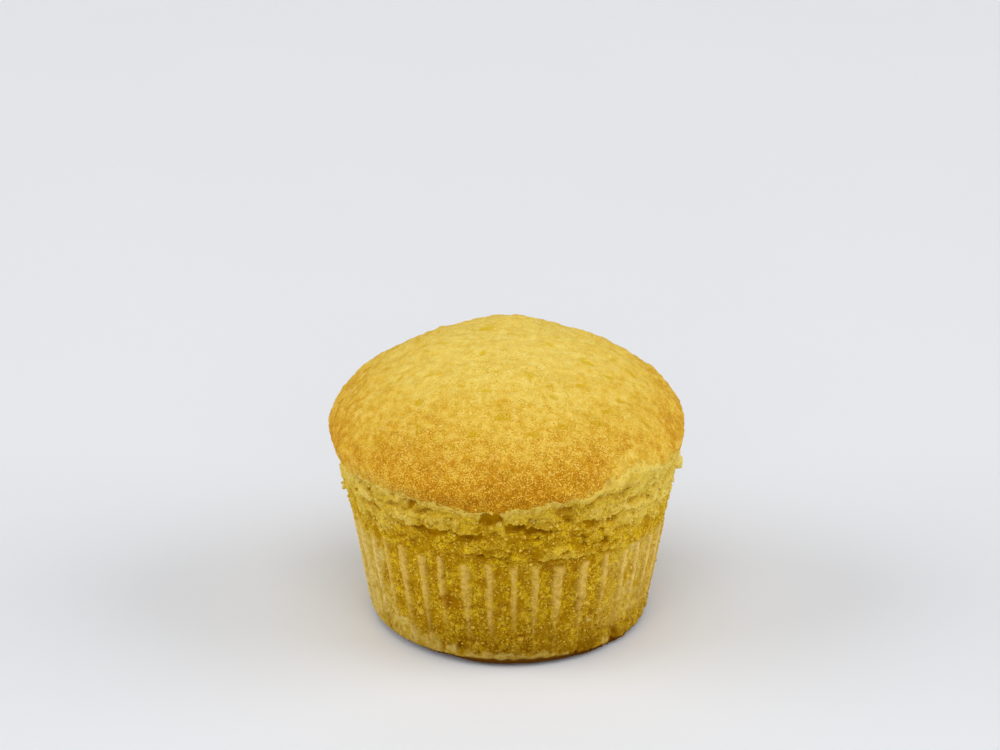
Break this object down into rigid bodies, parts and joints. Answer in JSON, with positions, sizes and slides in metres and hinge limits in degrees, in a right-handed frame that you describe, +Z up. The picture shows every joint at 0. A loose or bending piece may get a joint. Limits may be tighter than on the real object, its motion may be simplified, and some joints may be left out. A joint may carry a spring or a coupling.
{
  "type": "corn muffin",
  "caption": "Round corn muffin on a flat base, with a domed browned crown, an overhanging lip, a band of torn crumb and a fluted skirt left by a peeled baking case",
  "frame": {"origin": "centre of the bottom of the bounding box, on the flat base that the muffin stands on", "axes": "+Z up through the crown, -Y towards the side shown, +X to the right of that side"},
  "size_m": [0.0672, 0.0684, 0.0554],
  "materials": {
    "crust": "baked crust, fine sandy grain, golden brown towards the lip",
    "crumb": "torn open corn crumb",
    "cased_skin": "smooth pale skin on the flutes where the case peeled off, with crumb bared between them"
  },
  "bodies": {
    "root": {"muffin": "crust"}
  },
  "joints": []
}
